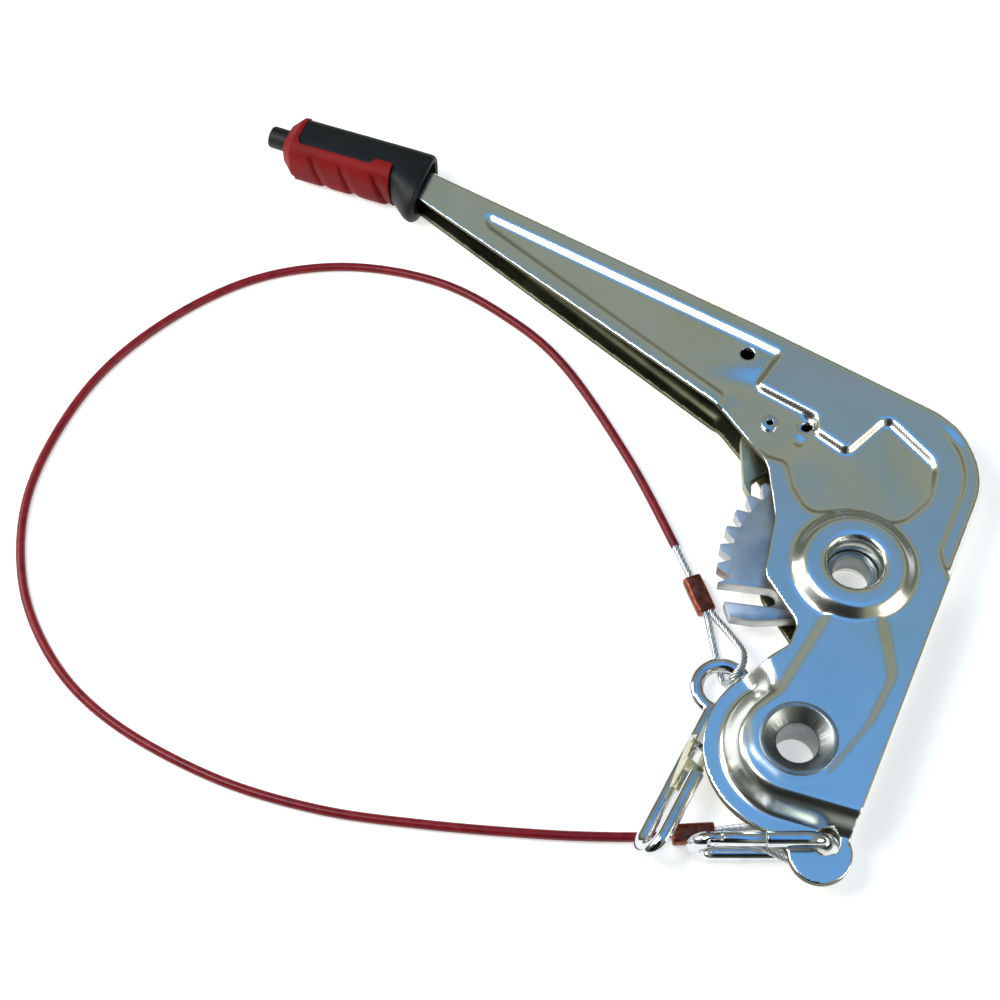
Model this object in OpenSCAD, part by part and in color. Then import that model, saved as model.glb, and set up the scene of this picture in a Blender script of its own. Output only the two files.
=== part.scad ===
// Hand brake lever of a trailer's overrun coupling, lying on its side, with its breakaway cable.
// X runs along the table, Y away from the viewer, Z up; the origin is the middle of the pivot bore.

/* [Pressed shells] */
// Sheet thickness of both pressed halves
sheet_t = 2; // [1.6:0.1:2.4]
// Flange level of a half above the seam
flange_h = 14; // [13:0.5:16]
// Depth of the long recess and the bell pocket
recess_d = 2.5; // [2:0.1:3]
// Rise of the panel between the two bores
panel_rise = 1.5; // [0.5:0.1:2]
// Rise of the boss round the pivot
boss_rise = 4; // [3:0.5:5]
// Slope of a handle cheek towards the grip, in degrees
taper = 1.67; // [1.5:0.01:1.7]
// Radius of the bell's outer corner
corner_r = 47; // [42:1:50]
// Radius of the handle's through hole
handle_hole_r = 4; // [3:0.5:5]

/* [Pivot] */
// Bore radius for the pivot bolt
pivot_r = 10; // [9:0.25:11]
// Inside radius of the drawn collars and outside of the bush
collar_r = 13.5; // [13:0.25:15]
// Rolled radius at the collar's mouth
collar_roll = 4.5; // [3.5:0.5:5]
// Length of the pivot bush
bush_len = 14; // [13:0.5:16]
// Radius of the boss's flat top
boss_top_r = 24; // [22:0.5:25]
// Radius of the boss's foot
boss_foot_r = 32; // [30:0.5:33]
// Radial running clearance of turning pieces
run_gap = 0.05; // [0.02:0.01:0.1]
// Side gap between the quadrant and the collars
side_gap = 0.8; // [0.4:0.1:1]

/* [Link bore] */
// Bore centre, across
link_x = -35.5; // [-37:0.5:-34]
// Bore centre, along
link_y = -95.5; // [-97:0.5:-94]
// Bore radius of the flared bush
link_r = 10.5; // [9.5:0.25:11]
// Wall of the flared bush
link_wall = 2.2; // [1.8:0.1:2.6]
// Outside radius of the flare's rim
link_rim_r = 19.5; // [18.5:0.25:20.5]
// Depth of the flare below the rim
link_flare = 6; // [5:0.25:7]

/* [Lower lobe] */
// Radius of the lobe's flat panel
lobe_top_r = 28.5; // [27.5:0.5:30]
// Width of the sloping side wall
lobe_slope = 9; // [7:0.5:10]
// Width of the rim at the seam
rim_w = 8; // [6:0.5:10]
// Lug centre, across
lug_x = -27.5; // [-28.5:0.5:-26.5]
// Lug centre, along
lug_y = -149; // [-150:0.5:-148]
// Lug radius
lug_r = 15.5; // [14:0.5:17]
// Radius of the lug's hole
lug_hole_r = 6.5; // [6:0.25:7]

/* [Ratchet] */
// Thickness of the toothed quadrant
quadrant_t = 8; // [6:0.5:8]
// Radius over the tooth crests
tooth_r = 69; // [68.5:0.1:69]
// Angle between teeth, in degrees
pitch = 9.5; // [9.5:0.5:9.5]
// Depth of the gaps
tooth_d = 6.5; // [6:0.1:7]
// Number of tooth gaps
gaps = 9; // [8:1:9]
// Hub radius of the quadrant
hub_r = 25; // [24:0.5:27]
// Width of the quadrant's open slot
slot_w = 10.5; // [9:0.5:11]
// Thickness of the pawl
pawl_t = 6; // [5:0.5:7]
// Pawl pin radius
pawl_pin_r = 3.5; // [3:0.25:4]
// Hole through the hollow pawl pin
pawl_pin_bore = 1.8; // [1:0.2:2]
// Head radius of the pawl pin
pawl_head_r = 4.7; // [4.5:0.1:5.5]
// Wall of the sleeves beside the pawl
spacer_wall = 1.5; // [1:0.1:2]
// Wire radius of the pawl spring
spring_wire_r = 0.8; // [0.6:0.1:0.9]

/* [Grip and button] */
// Length of the grip
grip_len = 91; // [88:1:94]
// Width of the grip, both ways
grip_w = 36; // [34:0.5:36]
// Corner radius of the grip
grip_round = 14; // [11:0.5:16]
// Thickness of the soft pad
pad_t = 3; // [2.5:0.25:4]
// Length of the soft pad
pad_len = 64; // [60:1:66]
// Width of a finger groove
groove_w = 3; // [2:0.25:4]
// Push button radius
button_r = 6.5; // [6:0.25:6.75]
// Free length of the push button
button_out = 9; // [8:0.5:12]
// Radial clearance of the push button
button_gap = 0.3; // [0.3:0.05:0.5]
// Release rod radius
rod_r = 2; // [1.5:0.1:2.2]
// Grip pin radius
grip_pin_r = 2; // [1.5:0.1:2.2]

/* [Hooks] */
// Wire radius of both hooks
wire_r = 4; // [3.5:0.1:4]
// Eye radius of the snap hook, to the wire's centre
eye_r = 13; // [12:0.5:13.5]
// Spacing of the snap hook's limbs
limb_gap = 17; // [16:0.5:18]
// Spacing of the link hook's limbs
link_gap = 19.9; // [19.9:0.1:20.5]
// Length of the link hook's straight limbs
link_len = 44; // [43:0.5:45]
// Gate pin radius
gate_pin_r = 1.2; // [1:0.1:1.4]
// Sheet thickness of the snap hook's gate
gate_t = 1; // [0.8:0.1:1.2]

/* [Cable] */
// Radius of the red sheath
sheath_r = 2.5; // [2.2:0.1:2.8]
// Radius of the wire rope
rope_r = 1.5; // [1.2:0.1:1.6]
// Length of a crimp ferrule
ferrule_len = 21; // [18:0.5:22]
// Width of a crimp ferrule
ferrule_w = 10; // [9:0.25:10.5]
// Height of a crimp ferrule
ferrule_h = 7; // [6:0.25:7]

/* [Hidden] */
$fn = 64;
steel = [0.72, 0.76, 0.8];
dark_steel = [0.55, 0.57, 0.6];
black = [0.1, 0.1, 0.1];
red = [0.62, 0.1, 0.1];
copper = [0.5, 0.25, 0.16];
yellow = [0.75, 0.68, 0.4];

boss_h = flange_h + boss_rise;
floor_z = -boss_h;
collar_end = quadrant_t / 2 + side_gap;
link_c = [link_x, link_y];
lug_c = [lug_x, lug_y];
lug_hole_c = lug_c + [3.5, 5.5];
lobe_foot_r = lobe_top_r + lobe_slope;
rim_r = lobe_foot_r + rim_w;
lobe_start = 112;
lobe_end = 252.5;
lobe_dir = [cos(lobe_end + 90), sin(lobe_end + 90)];

// Grip axis: from its front end towards the bell
grip_a = -21;
grip_p = [-308, 293];
grip_dir = [cos(grip_a), sin(grip_a)];
tang_start = 28;
tang_up = 6;
tang_down = -8;
tang_top_h = 8.2;

// The handle leaves the bell's plane at this point and slopes to the seam towards the grip
bend_p = [-48, 131];
bend_a = 144;

// Pawl, and its tail at right angles to the button's travel
pawl_p = [-37, 88];
tail_len = 26;
tail_p = pawl_p + tail_len * [-grip_dir[1], grip_dir[0]];
tail_hole_r = rod_r + 1.2;
rod_z = pawl_t / 2 + 1.4 + rod_r;
rest_gap = 0.3;
nose_a = 135;

// Gap between two teeth that lies under the pawl's nose at rest: its middle, mouth and root, in degrees
gap_first = 131.85;
gap_open = 7.2;
gap_root = 1.2;
gap_lean = 0.95;

function unit(v) = v / norm(v);
function xy(p) = [p[0], p[1]];
function polar(r, a) = r * [cos(a), sin(a)];
function before(c, i) = c[(i + len(c) - 1) % len(c)];
function after(c, i) = c[(i + 1) % len(c)];
function grip_at(s, v) = grip_p + s * grip_dir + v * [-grip_dir[1], grip_dir[0]];

// Centre of the arc that rounds corner b between a and c
function arc_centre(a, b, c, r) =
  b + unit(unit(a - b) + unit(c - b)) * r / sin(acos(unit(a - b) * unit(c - b)) / 2);

// Points of that arc
function corner(a, b, c, r, n) =
  let (half = acos(unit(a - b) * unit(c - b)) / 2, o = arc_centre(a, b, c, r), p = b + unit(a - b) * r / tan(half))
  let (start = atan2(p[1] - o[1], p[0] - o[0]), turn = (cross(b - a, c - b) > 0 ? 1 : -1) * (180 - 2 * half))
  [for (i = [0 : n]) o + polar(r, start + turn * i / n)];

// Outline from corners [x, y, radius]
function rounded(c, n = 5, first = 0) =
  [for (i = [first : len(c) - 1])
    each c[i][2] <= 0 ? [xy(c[i])] : corner(xy(before(c, i)), xy(c[i]), xy(after(c, i)), c[i][2], n)];

// Outline moved outwards by d
function grow(p, d) =
  [for (i = [0 : len(p) - 1])
    let (a = unit(p[i] - before(p, i)), b = unit(after(p, i) - p[i]), m = [a[1], -a[0]], k = [b[1], -b[0]])
    p[i] + d * (m + k) / (1 + m * k)];

// Where the line from p along d meets the line from q along e
function meet(p, d, q, e) = p + d * cross(q - p, e) / cross(d, e);

bell_c = [85.7, 76.3];
edge_dir = unit([-77.5, -172.9]);
top_dir = unit([-302.7, 186.7]);
wall_foot = meet(link_c + polar(lobe_top_r, lobe_end), lobe_dir, bell_c, edge_dir);
bell_o = arc_centre(wall_foot, bell_c, bell_c + 100 * top_dir, corner_r);
web_end_y = -3;

// Cheek outline, anticlockwise from the foot of the right edge
bell_arc = corner(wall_foot, bell_c, bell_c + 100 * top_dir, corner_r, 16);
cheek = concat([wall_foot], bell_arc, rounded(concat(
  [[each bell_arc[16], 0], [-219, 264.3, 10]],
  [for (p = [[tang_start, tang_up], [tang_start, tang_down], [84, tang_down]]) [each grip_at(p[0], p[1]), 0]],
  [[-228, 243.6, 4], [-62, 97, 25], [-40, 63, 25], [-38, 30, 25], [-46, -4, 13], [-31, -32, 7], [-36.5, -44, 5]],
  [[-50, -52.5, 0]],
  [for (i = [0 : 16]) [each link_c + polar(lobe_top_r, lobe_start + (lobe_end - lobe_start) * i / 16), 0]]), 5, 1));

// Side of the outline that carries the web
web_zone = [[30, web_end_y], [110, web_end_y], [110, 140], [-270, 345], [-310, 292], grip_at(tang_start, 3.2),
  [-226, 258], [-60, 130], [20, 60]];

// Long recess and bell pocket, one pressing
recess = rounded([[-190, 231.5, 2], [-188, 222.5, 3], [-61, 105.5, 4], [-64, 96, 0], [-50, 76, 0], [-40, 66.5, 3],
  [-30, 63, 5], [-28, 48, 8], [-21, 32, 10], [0, 34, 30], [26, 24.5, 14], [44, 40, 14], [49, 62, 12],
  [26, 91, 5], [3, 69.5, 4], [-12, 82, 4], [-12, 92, 4], [-43, 112, 4], [-28.5, 132.5, 2]]);

// Raised panel between the bores
panel = rounded([[11, -23, 0], [-13, -23, 0], [-42, -68, 8], [-59, -80, 12], [-59, -102, 14], [-44, -117, 12],
  [-24, -115, 12], [0, -87, 12], [14, -62, 20]]);

module level(z0, z1) {
  translate([0, 0, z0])
    linear_extrude(z1 - z0)
      children();
}

// Slab that is level over the bell and slopes to the seam beyond the bend line
module bent_slab(z0, z1) {
  reach = 400;
  drop = reach * tan(taper);
  translate([bend_p[0], bend_p[1], 0])
    rotate([0, 0, bend_a])
      rotate([90, 0, 0])
        translate([0, 0, -reach])
          linear_extrude(2 * reach)
            polygon([[-reach, z0], [0, z0], [reach, z0 - drop], [reach, z1 - drop], [0, z1], [-reach, z1]]);
}

// Flat shape as sheet between two levels, following the bend
module bent_level(z0, z1) {
  intersection() {
    level(-20, flange_h + 5)
      children();
    bent_slab(z0, z1);
  }
}

// How far the handle's sheet lies below the bell's level at a point
function drop(p) = max(0, (p - bend_p) * [cos(bend_a), sin(bend_a)]) * tan(taper);

// Closed solid between like sections at each station of a route
module skin(sections) {
  n = len(sections[0]);
  m = len(sections);
  polyhedron(
    [for (c = sections) each c],
    concat(
      [[for (k = [0 : n - 1]) k]],
      [[for (k = [n - 1 : -1 : 0]) (m - 1) * n + k]],
      [for (i = [0 : m - 2], k = [0 : n - 1])
        each [[i * n + k, (i + 1) * n + k, (i + 1) * n + (k + 1) % n],
          [i * n + k, (i + 1) * n + (k + 1) % n, i * n + (k + 1) % n]]]));
}

// Flat sheet, pressing and web of one half
module cheek_sheet() {
  union() {
    bent_level(flange_h - sheet_t, flange_h)
      difference() {
        polygon(cheek);
        polygon(recess);
        circle(boss_foot_r - 1);
      }
    bent_level(flange_h - recess_d - sheet_t, flange_h - recess_d)
      intersection() {
        polygon(grow(cheek, -0.6));
        polygon(grow(recess, sheet_t - 0.4));
      }
    bent_level(flange_h - recess_d - 0.5, flange_h - 0.5)
      intersection() {
        polygon(grow(cheek, -0.3));
        difference() {
          polygon(grow(recess, sheet_t));
          polygon(grow(recess, 0.3));
        }
      }
    bent_level(-9, flange_h - 0.7)
      intersection() {
        difference() {
          polygon(grow(cheek, -0.3));
          polygon(grow(cheek, -sheet_t));
        }
        polygon(web_zone);
      }
  }
}

// Stations round the lobe and along its straight side, as [base, outward direction]
lobe_stations = concat(
  [for (i = [0 : 16]) let (a = lobe_start + (lobe_end - lobe_start) * i / 16) [link_c, polar(1, a)]],
  [[link_c + 60 * lobe_dir, polar(1, lobe_end)]]);
lobe_clip = [wall_foot - 60 * edge_dir, wall_foot - 60 * edge_dir + [-150, 0], [-150, -200],
  wall_foot + 20 * edge_dir + [-40, -60], wall_foot + 20 * edge_dir];

// Section of the lobe's sloping side, from inside the flat panel's edge down into the rim
module lobe_section(out) {
  run = lobe_slope / (flange_h - sheet_t);
  mid = flange_h - 0.5 - out;
  foot = sheet_t / 2;
  polygon([[lobe_top_r - 2.5 + out, mid], [lobe_foot_r - sheet_t + run * foot + out, foot],
    [lobe_foot_r + run * foot + out, foot], [lobe_top_r + 0.4 + out, mid]]);
}

// Sloping side wall: round the lobe, then straight to the right edge
module lobe_wall() {
  intersection() {
    translate([link_c[0], link_c[1], 0])
      union() {
        rotate([0, 0, lobe_start])
          rotate_extrude(angle = lobe_end - lobe_start + 5)
            lobe_section(0);
        rotate([0, 0, lobe_end])
          rotate([90, 0, 0])
            translate([0, 0, -60])
              linear_extrude(63)
                lobe_section(0.3);
      }
    level(-1, flange_h + 1)
      polygon(lobe_clip);
  }
}

// Flat rim at the seam with the lug
module rim_flat() {
  union() {
    intersection() {
      polygon(concat([for (c = lobe_stations) c[0] + rim_r * c[1]],
        [for (i = [len(lobe_stations) - 1 : -1 : 0]) lobe_stations[i][0] + (lobe_foot_r - 1.3) * lobe_stations[i][1]]));
      polygon(lobe_clip);
    }
    translate(lug_c)
      circle(lug_r);
    polygon([lug_c + [-lug_r, 0], lug_c + [lug_r, 0], wall_foot + 12 * edge_dir, link_c + polar(rim_r - 6, lobe_end - 8)]);
  }
}

// Section of the pivot boss with its collar drawn inwards
module boss_section() {
  in_r = collar_r + sheet_t;
  roll_c = [collar_r + collar_roll, boss_h - collar_roll];
  polygon(concat(
    [[boss_foot_r, flange_h], [boss_top_r, boss_h]],
    [for (i = [0 : 8]) roll_c + polar(collar_roll, 90 + i * 90 / 8)],
    [[collar_r, collar_end], [in_r, collar_end]],
    [for (i = [0 : 8]) roll_c + polar(collar_roll - sheet_t, 180 - i * 90 / 8)],
    [[boss_top_r - 0.9, boss_h - sheet_t], [boss_foot_r - 1.9, flange_h - sheet_t + 0.5],
      [boss_foot_r + 1, flange_h - sheet_t + 0.5], [boss_foot_r + 1, flange_h - 0.5]]));
}

module half_shell() {
  difference() {
    union() {
      cheek_sheet();
      rotate_extrude()
        boss_section();
      level(flange_h - 0.7, flange_h + panel_rise)
        polygon(panel);
      lobe_wall();
      level(0, sheet_t)
        rim_flat();
    }
    level(flange_h - sheet_t - 1, flange_h + panel_rise - sheet_t)
      polygon(grow(panel, -sheet_t));
    translate([-450, -300, -60])
      cube([700, 700, 60]);
    translate([link_c[0], link_c[1], -1])
      cylinder(h = flange_h + 10, r = link_rim_r - 2);
    translate([pawl_p[0], pawl_p[1], -1])
      cylinder(h = flange_h + 10, r = pawl_pin_r);
    translate([lug_hole_c[0], lug_hole_c[1], -1])
      cylinder(h = sheet_t + 2, r = lug_hole_r);
    translate([-46, 133, -1])
      cylinder(h = flange_h + 10, r = handle_hole_r);
    translate([-17, 87, -1])
      cylinder(h = flange_h + 10, r = 2.5);
    grip_frame()
      translate([58, 0, -1])
        grip_pin_hole();
  }
}

module front_shell() {
  color(steel)
    half_shell();
}

module rear_shell() {
  color(steel)
    mirror([0, 0, 1])
      half_shell();
}

// Bush that the quadrant turns on, pressed into both collars
module pivot_bush() {
  color(dark_steel)
    difference() {
      cylinder(h = bush_len, r = collar_r, center = true);
      cylinder(h = bush_len + 2, r = pivot_r, center = true);
    }
}

// Flared tube that ties both halves together at the link bore
module link_bush() {
  rim_z = flange_h + panel_rise;
  cone_r = link_rim_r - 2.7;
  half = [[link_r, rim_z + 1 - link_flare], [cone_r, rim_z + 0.6], [cone_r + 0.6, rim_z + 1], [link_rim_r, rim_z + 1],
    [link_rim_r, rim_z], [link_rim_r - 2.2, rim_z], [link_r + link_wall, rim_z + 2.2 - link_flare]];
  color(steel)
    translate([link_c[0], link_c[1], 0])
      rotate_extrude()
        polygon(concat(half, [for (i = [len(half) - 1 : -1 : 0]) [half[i][0], -half[i][1]]]));
}

// Toothed plate that stays with the drawbar while the lever swings about it
module toothed_quadrant() {
  first = gap_first - 3 * pitch;
  last = first + (gaps - 1) * pitch;
  teeth = [for (i = [0 : gaps - 1]) let (a = first + i * pitch)
    each [polar(tooth_r, a - gap_open / 2), polar(tooth_r - tooth_d, a + gap_lean - gap_root / 2),
      polar(tooth_r - tooth_d, a + gap_lean + gap_root / 2), polar(tooth_r, a + gap_open / 2)]];
  ends = [for (i = [0 : 3]) polar(tooth_r, last + 6 + (186 - last) * i / 3)];
  foot = [for (i = [0 : 4]) polar(tooth_r - 1, 192 + i * 2)];
  color(dark_steel)
    difference() {
      translate([0, 0, -quadrant_t / 2])
        linear_extrude(quadrant_t)
          union() {
            circle(hub_r);
            polygon(concat([polar(hub_r - 2, first - 40), polar(tooth_r, first - 7)], teeth, ends, foot,
              [[-52, -hub_r - 0.5], [-20, -hub_r + 1], [0, -hub_r + 4]]));
          }
      cylinder(h = quadrant_t + 2, r = collar_r + run_gap, center = true);
      translate([-44, -12.5, -quadrant_t])
        rotate([0, 0, 172])
          union() {
            translate([0, -slot_w / 2, 0])
              cube([60, slot_w, quadrant_t * 2]);
            cylinder(h = quadrant_t * 2, r = slot_w / 2);
          }
    }
}

// Pawl whose nose rides just clear of the crests at rest and drops into a gap as the button comes out
module pawl() {
  nose = tooth_r + rest_gap;
  body = rounded([[each polar(nose, nose_a - 0.7), 0], [-47.6, 57.5, 0], [-43, 61.5, 3], [-34.5, 67, 4], [-26, 82, 8],
    [each tail_p + [7, 0], 4], [each tail_p + [0, 8], 5], [each tail_p + [-7, 2], 5], [-45, 96, 8],
    [-52, 84, 6], [-52, 55.5, 2], [each polar(nose, nose_a + 0.5), 0]]);
  color(dark_steel)
    difference() {
      translate([0, 0, -pawl_t / 2])
        linear_extrude(pawl_t)
          polygon(body);
      translate([pawl_p[0], pawl_p[1], 0])
        cylinder(h = pawl_t + 2, r = pawl_pin_r + run_gap, center = true);
      translate([tail_p[0], tail_p[1], 0])
        cylinder(h = pawl_t + 2, r = tail_hole_r, center = true);
    }
}

// Hollow rivet that carries the pawl
module pawl_pin() {
  head_z = flange_h - recess_d;
  color(steel)
    translate([pawl_p[0], pawl_p[1], 0])
      difference() {
        union() {
          cylinder(h = 2 * head_z + 1, r = pawl_pin_r, center = true);
          for (side = [-1, 1])
            translate([0, 0, side * (head_z + 0.9)])
              cylinder(h = 1.8, r = pawl_head_r, center = true);
        }
        cylinder(h = 2 * head_z + 10, r = pawl_pin_bore, center = true);
      }
}

// Sleeves that keep the pawl in the middle between the two halves
module pawl_spacer() {
  z0 = pawl_t / 2 + 0.4;
  translate([pawl_p[0], pawl_p[1], z0])
    difference() {
      cylinder(h = flange_h - recess_d - sheet_t - z0, r = pawl_pin_r + spacer_wall);
      translate([0, 0, -1])
        cylinder(h = flange_h, r = pawl_pin_r);
    }
}

module spacer_front() {
  color(steel)
    pawl_spacer();
}

module spacer_rear() {
  color(steel)
    mirror([0, 0, 1])
      pawl_spacer();
}

// Coil round the front sleeve, with one leg towards the handle
module pawl_spring() {
  coil_r = pawl_pin_r + spacer_wall + spring_wire_r - 0.05;
  z0 = pawl_t / 2 + spring_wire_r + 0.5;
  color(steel)
    translate([pawl_p[0], pawl_p[1], 0])
      union() {
        for (i = [0 : 2])
          translate([0, 0, z0 + i * 1.8 * spring_wire_r])
            rotate_extrude()
              translate([coil_r, 0])
                circle(spring_wire_r);
        translate([coil_r + 0.2, -1, z0 + 3.6 * spring_wire_r])
          rotate([-90, 0, 8])
            cylinder(h = 11, r = spring_wire_r - 0.1);
      }
}

module grip_frame() {
  translate([grip_p[0], grip_p[1], 0])
    rotate([0, 0, grip_a])
      children();
}

// Round bar between two points
module bar(p, q, r) {
  d = q - p;
  translate(p)
    rotate([0, acos(d[2] / norm(d)), atan2(d[1], d[0])])
      cylinder(h = norm(d), r = r);
}

// Wire from the button to the pawl's tail, bent once at the grip and once at the pawl
module release_rod() {
  a = [each grip_at(8, 0), 0];
  b = [each grip_at(88, 0), 0];
  c = [each tail_p, rod_z];
  color(steel)
    union() {
      bar(a, b, rod_r);
      translate([b[0], b[1], -rod_r - 0.6])
        cylinder(h = 2 * rod_r + 1.2, r = rod_r + 0.6);
      bar(b, c, rod_r);
      translate([c[0], c[1], -pawl_t / 2 - 0.5])
        cylinder(h = rod_z + pawl_t / 2 + rod_r + 0.8, r = rod_r + 0.3);
    }
}

// Release button in the end of the grip
module push_button() {
  color(black)
    grip_frame()
      rotate([0, 90, 0])
        difference() {
          union() {
            translate([0, 0, -button_out + 1])
              cylinder(h = button_out + 13, r = button_r);
            translate([0, 0, -button_out])
              cylinder(h = 1, r1 = button_r - 1, r2 = button_r);
          }
          translate([0, 0, 8])
            cylinder(h = 10, r = rod_r);
        }
}

// Return spring, drawn closed up as it is with the button pressed home
module button_spring() {
  color(steel)
    grip_frame()
      rotate([0, 90, 0])
        union() {
          for (i = [0 : 3])
            translate([0, 0, 21.2 + i * 1.5])
              rotate_extrude()
                translate([5, 0])
                  circle(0.8);
          translate([0, 0, 26])
            difference() {
              cylinder(h = 2, r = 5.8);
              translate([0, 0, -1])
                cylinder(h = 4, r = 4.2);
            }
        }
}

// Grip section, smaller all round by d
module grip_section(d) {
  side = grip_w / 2 - d;
  r = grip_round - d;
  union() {
    square([2 * side, 2 * (side - r)], center = true);
    square([2 * (side - r), 2 * side], center = true);
    for (x = [-1, 1], y = [-1, 1])
      translate([x * (side - r), y * (side - r)])
        circle(r);
  }
}

module along_grip(s0, s1) {
  translate([s0, 0, 0])
    rotate([90, 0, 90])
      linear_extrude(s1 - s0)
        children();
}

// Outside of the grip with its finger guard
module grip_form() {
  union() {
    along_grip(0, 1.5)
      grip_section(1.5);
    along_grip(1.5, grip_len - 1.5)
      grip_section(0);
    along_grip(grip_len - 1.5, grip_len)
      grip_section(1.5);
    along_grip(grip_len - 17, grip_len - 3)
      union() {
        translate([-grip_w / 2 - 4, 0])
          circle(10);
        translate([-grip_w / 2 - 4, -10])
          square([grip_w / 2, 20]);
      }
  }
}

// Space of the soft pad: the finger side and the front cap
module pad_space() {
  difference() {
    union() {
      translate([-20, -60, -60])
        cube([27, 120, 120]);
      translate([-20, -60, -60])
        cube([pad_len + 20, 53, 120]);
    }
    along_grip(7, grip_len + 10)
      grip_section(pad_t);
  }
}

module grip_pin_hole() {
  translate([0, 4, 0])
    cylinder(h = grip_w, r = grip_pin_r, center = true);
}

// Hollow inside the grip: button bore and seat of the tang
module grip_hollow() {
  rotate([0, 90, 0])
    translate([0, 0, -5])
      cylinder(h = tang_start + 5.5, r = button_r + button_gap);
}

module tang_seat() {
  translate([0, 0, -tang_top_h])
    linear_extrude(2 * tang_top_h)
      polygon(grow(cheek, 0.1));
}

// Hard body of the grip
module grip_core() {
  color(black)
    difference() {
      grip_frame()
        difference() {
          grip_form();
          pad_space();
          grip_hollow();
          translate([58, 0, 0])
            grip_pin_hole();
        }
      tang_seat();
    }
}

// Soft pad with slanting finger grooves
module grip_pad() {
  color(red)
    difference() {
      grip_frame()
        difference() {
          intersection() {
            grip_form();
            pad_space();
          }
          grip_hollow();
          for (s = [20, 36, 52])
            intersection() {
              difference() {
                translate([s, -grip_w / 2, 0])
                  rotate([0, 0, 20])
                    cube([groove_w, grip_w, grip_w + 4], center = true);
                along_grip(0, grip_len)
                  grip_section(1.2);
              }
              translate([0, -60, -60])
                cube([grip_len, 50, 120]);
            }
        }
      tang_seat();
    }
}

// Cross pin that keeps the grip on the tang
module grip_pin() {
  color(steel)
    grip_frame()
      translate([58, 4, 0])
        cylinder(h = grip_w - 2, r = grip_pin_r, center = true);
}

// Snap hook: a flat eye, a neck, and a hook loop that leans over to one side
hook_eye = [-68.5, -57, floor_z + 7.2];
hook_d = unit([-0.469, -0.883, 0.032]);
hook_p = hook_eye + 29 * hook_d;
shank_r = wire_r - 0.2;
hook_side = unit([0.883, -0.469, 0]);
hook_w = unit(0.574 * hook_side + 0.819 * unit(cross(hook_d, hook_side)));
hook_n = cross(hook_d, hook_w);
shank_len = 62;
nose_k = 25;
gate_k = 8;
gate_w = 7.5;

function hook_at(k, w) = hook_p + k * hook_d + w * hook_w;

// Puts X along the shank, Y towards the nose and Z across the loop
module hook_frame() {
  multmatrix([
    [hook_d[0], hook_w[0], hook_n[0], hook_p[0]],
    [hook_d[1], hook_w[1], hook_n[1], hook_p[1]],
    [hook_d[2], hook_w[2], hook_n[2], hook_p[2]],
    [0, 0, 0, 1]])
    children();
}

module snap_hook() {
  color(steel)
    union() {
      translate(hook_eye)
        rotate_extrude()
          translate([eye_r, 0])
            circle(wire_r);
      bar(hook_eye + eye_r * hook_d, hook_at(shank_len + 0.5, 0), shank_r);
      hook_frame()
        translate([shank_len, limb_gap / 2, 0])
          rotate([0, 0, -90])
            rotate_extrude(angle = 180)
              translate([limb_gap / 2, 0])
                circle(shank_r - 0.06);
      bar(hook_at(shank_len + 0.5, limb_gap), hook_at(nose_k, limb_gap), shank_r);
      hook_frame()
        translate([gate_k, gate_w, 0])
          difference() {
            union() {
              cylinder(h = 5, r = 1.9, center = true);
              translate([0, -gate_w / 2, 0])
                cube([3.8, gate_w, 5], center = true);
            }
            cylinder(h = 6, r = gate_pin_r, center = true);
          }
    }
}

// Sheet gate: two side arms on the pin and a strip under the nose
module snap_gate() {
  strip_w = limb_gap - wire_r - 0.5;
  arm_z = wire_r + 0.6;
  far = nose_k + 12;
  color(yellow)
    hook_frame()
      difference() {
        union() {
          for (side = [-1, 1])
            translate([0, 0, side * (arm_z + gate_t / 2) - gate_t / 2])
              linear_extrude(gate_t)
                polygon([[gate_k - 3, gate_w - 3], [gate_k + 5, gate_w - 3], [far, strip_w - 3], [far, strip_w],
                  [gate_k + 11, strip_w], [gate_k + 11, strip_w - 1.5], [gate_k - 3, gate_w + 2.2]]);
          translate([gate_k + 11, strip_w - gate_t, -arm_z - gate_t / 2])
            cube([far - gate_k - 11, gate_t, 2 * arm_z + gate_t]);
        }
        translate([gate_k, gate_w, 0])
          cylinder(h = 30, r = gate_pin_r + run_gap, center = true);
      }
}

module snap_gate_pin() {
  color(steel)
    hook_frame()
      translate([gate_k, gate_w, 0])
        cylinder(h = 2 * (wire_r + gate_t + 1.2), r = gate_pin_r, center = true);
}

// Link hook: an oval ring on edge through the lug's hole, with a gate in its upper limb
link_bend_r = link_gap / 2;
link_right = lug_hole_c[0] - link_bend_r;
link_left = link_right - link_len;
link_plane = lug_hole_c[1];
link_top = sheet_t - 0.05 + wire_r;
link_mid = link_top - link_bend_r;
link_gate_end = link_left + 24;
link_gate_r = wire_r - 0.6;

module link_hook() {
  low = link_top - link_gap;
  color(steel)
    translate([0, link_plane, 0])
      difference() {
        union() {
          bar([link_left, 0, low], [link_right, 0, low], wire_r);
          bar([link_gate_end + 0.5, 0, link_top], [link_right, 0, link_top], wire_r);
          bar([link_left - 0.1, 0, link_top], [link_left + 2.6, 0, link_top], wire_r - 0.3);
          translate([link_right, 0, link_mid])
            rotate([90, 90, 0])
              rotate_extrude(angle = 180)
                translate([link_bend_r, 0])
                  circle(wire_r);
          translate([link_left, 0, link_mid])
            rotate([90, -90, 0])
              rotate_extrude(angle = 180)
                translate([link_bend_r, 0])
                  circle(wire_r);
        }
        translate([link_left - 4, -wire_r - 1, link_top - wire_r - 0.5])
          cube([11, wire_r + 1 - 1.5, 2 * wire_r + 2]);
        translate([link_left - 4, 1.5, link_top - wire_r - 0.5])
          cube([11, wire_r + 1, 2 * wire_r + 2]);
        translate([link_left, 0, link_top])
          rotate([90, 0, 0])
            cylinder(h = 20, r = gate_pin_r, center = true);
      }
}

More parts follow.
